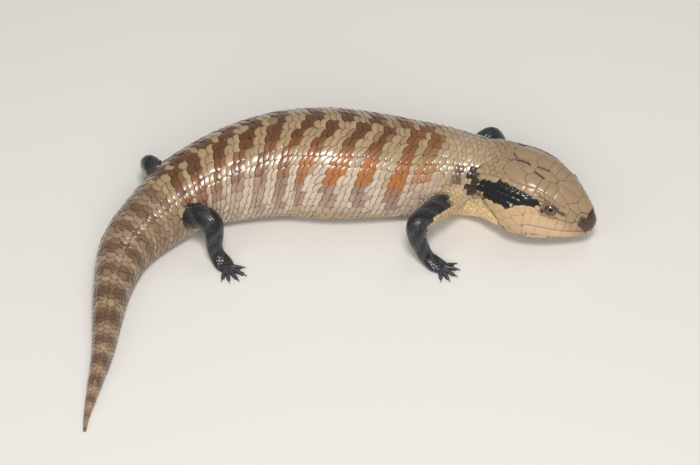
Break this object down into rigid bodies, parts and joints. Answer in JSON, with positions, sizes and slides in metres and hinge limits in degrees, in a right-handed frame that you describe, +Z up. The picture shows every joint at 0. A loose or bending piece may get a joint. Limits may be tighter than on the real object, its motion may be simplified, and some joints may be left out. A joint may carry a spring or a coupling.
{
  "type": "blue-tongued skink model",
  "caption": "Life-size still model of a banded blue-tongued skink lying on its belly, body gently curved, short legs out, head turned.",
  "frame": {"origin": "on the floor under the middle of the whole animal's box", "axes": "+X towards the head end, +Y away from the side that is seen, +Z up"},
  "size_m": [0.2832, 0.2116, 0.0484],
  "materials": {
    "head_skin": "satin tan shields with a black streak behind the eye",
    "body_skin": "glossy overlapping scales, rusty brown bands on cream and grey",
    "limb_skin": "glossy slate-black small scales",
    "eye": "wet gloss, brown iris and round pupil",
    "claw": "smooth dark horn"
  },
  "bodies": {
    "root": {"head": "head_skin", "lower_jaw": "head_skin", "neck": "head_skin", "trunk_front": "body_skin", "trunk_middle": "body_skin", "trunk_rear": "body_skin", "tail_base": "body_skin", "tail_front": "body_skin", "tail_middle": "body_skin", "tail_end": "body_skin", "eye_left": "eye", "eye_right": "eye", "fore_left_upper": "limb_skin", "fore_left_lower": "limb_skin", "fore_left_foot": "limb_skin", "claw_fore_left_1": "claw", "claw_fore_left_2": "claw", "claw_fore_left_3": "claw", "claw_fore_left_4": "claw", "claw_fore_left_5": "claw", "fore_right_upper": "limb_skin", "fore_right_lower": "limb_skin", "fore_right_foot": "limb_skin", "claw_fore_right_1": "claw", "claw_fore_right_2": "claw", "claw_fore_right_3": "claw", "claw_fore_right_4": "claw", "claw_fore_right_5": "claw", "hind_left_upper": "limb_skin", "hind_left_lower": "limb_skin", "hind_left_foot": "limb_skin", "claw_hind_left_1": "claw", "claw_hind_left_2": "claw", "claw_hind_left_3": "claw", "claw_hind_left_4": "claw", "claw_hind_left_5": "claw", "hind_right_upper": "limb_skin", "hind_right_lower": "limb_skin", "hind_right_foot": "limb_skin", "claw_hind_right_1": "claw", "claw_hind_right_2": "claw", "claw_hind_right_3": "claw", "claw_hind_right_4": "claw", "claw_hind_right_5": "claw"}
  },
  "joints": []
}
